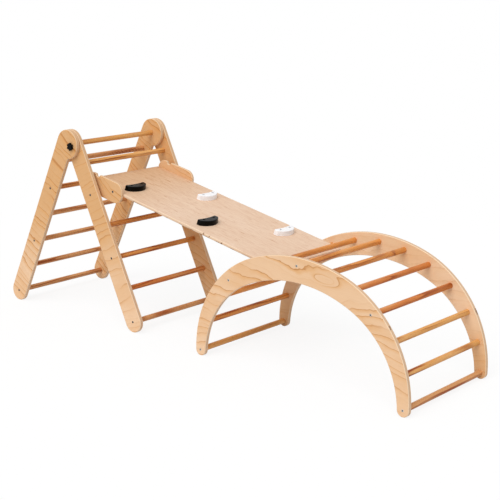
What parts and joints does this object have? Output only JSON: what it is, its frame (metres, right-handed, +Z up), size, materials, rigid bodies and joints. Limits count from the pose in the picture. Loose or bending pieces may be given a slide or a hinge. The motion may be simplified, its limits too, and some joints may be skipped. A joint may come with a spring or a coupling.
{
  "type": "toddler climbing set",
  "caption": "Wooden toddler climbing set: a folding ladder triangle and an arch climber with round rungs, joined by a hook-on ramp with crescent climbing holds.",
  "frame": {"origin": "centre of the footprint's bounding box, on the floor", "axes": "+X along the set from the triangle to the arch, +Y along the rungs to the far side, +Z up"},
  "size_m": [2.1155, 0.5442, 0.7998],
  "materials": {
    "ladder_board": "satin oiled plywood, rounded edges",
    "arch_board": "satin oiled plywood, rounded edges",
    "rung_wood": "turned hardwood, oiled",
    "ramp_wood": "pale plywood, sanded",
    "hook_plate_wood": "satin oiled plywood",
    "black_hold": "moulded, satin gloss",
    "white_hold": "moulded, satin gloss",
    "knob_plastic": "moulded black",
    "spacer_plastic": "nylon",
    "stud_steel": "zinc plated",
    "screw_steel": "zinc plated"
  },
  "bodies": {
    "front_ladder": {"front_near_rail": "ladder_board", "front_far_rail": "ladder_board", "front_rung_1": "rung_wood", "front_rung_2": "rung_wood", "front_rung_3": "rung_wood", "front_rung_4": "rung_wood", "front_rung_5": "rung_wood", "front_rung_6": "rung_wood", "front_screws": "screw_steel", "hinge_rung": "rung_wood", "far_spacer": "spacer_plastic", "near_spacer": "spacer_plastic", "far_insert": "stud_steel"},
    "rear_ladder": {"rear_near_rail": "ladder_board", "rear_far_rail": "ladder_board", "rear_rung_1": "rung_wood", "rear_rung_2": "rung_wood", "rear_rung_3": "rung_wood", "rear_rung_4": "rung_wood", "rear_rung_5": "rung_wood", "rear_rung_6": "rung_wood", "rear_screws": "screw_steel", "near_insert": "stud_steel"},
    "near_knob_turns": {"near_knob": "knob_plastic", "near_stud": "stud_steel"},
    "far_knob_turns": {"far_knob": "knob_plastic", "far_stud": "stud_steel"},
    "arch": {"arch_near_panel": "arch_board", "arch_far_panel": "arch_board", "arch_rung_1": "rung_wood", "arch_rung_2": "rung_wood", "arch_rung_3": "rung_wood", "arch_rung_4": "rung_wood", "arch_rung_5": "rung_wood", "arch_rung_6": "rung_wood", "arch_rung_7": "rung_wood", "arch_rung_8": "rung_wood", "arch_rung_9": "rung_wood", "arch_rung_10": "rung_wood", "arch_rung_11": "rung_wood", "arch_rung_12": "rung_wood", "arch_rung_13": "rung_wood", "arch_screws": "screw_steel"},
    "ramp": {"near_hook_plate": "hook_plate_wood", "far_hook_plate": "hook_plate_wood", "hook_plate_screws": "screw_steel", "upper_black_hold": "black_hold", "upper_white_hold": "white_hold", "lower_black_hold": "black_hold", "lower_white_hold": "white_hold", "ramp_board": "ramp_wood", "hold_screws": "screw_steel", "hold_nuts": "stud_steel"}
  },
  "joints": [
    {"name": "fold_hinge", "type": "hinge", "parent": "front_ladder", "child": "rear_ladder", "pos_m": [-0.65448, 0, 0.73878], "axis": [0, 1, 0], "range_deg": [-36, 20]},
    {"name": "near_knob_turn", "type": "hinge", "parent": "rear_ladder", "child": "near_knob_turns", "pos_m": [-0.62737, -0.261, 0.73274], "axis": [0, 1, 0], "continuous": true},
    {"name": "far_knob_turn", "type": "hinge", "parent": "front_ladder", "child": "far_knob_turns", "pos_m": [-0.68159, 0.261, 0.73274], "axis": [0, 1, 0], "continuous": true},
    {"name": "arch_lift", "type": "slide", "parent": "front_ladder", "child": "arch", "axis": [0, 0, 1], "range_m": [0, 0.03]},
    {"name": "ramp_lift", "type": "hinge", "parent": "arch", "child": "ramp", "pos_m": [0.34473, 0, 0.38996], "axis": [0, 1, 0], "range_deg": [0, 30]}
  ]
}
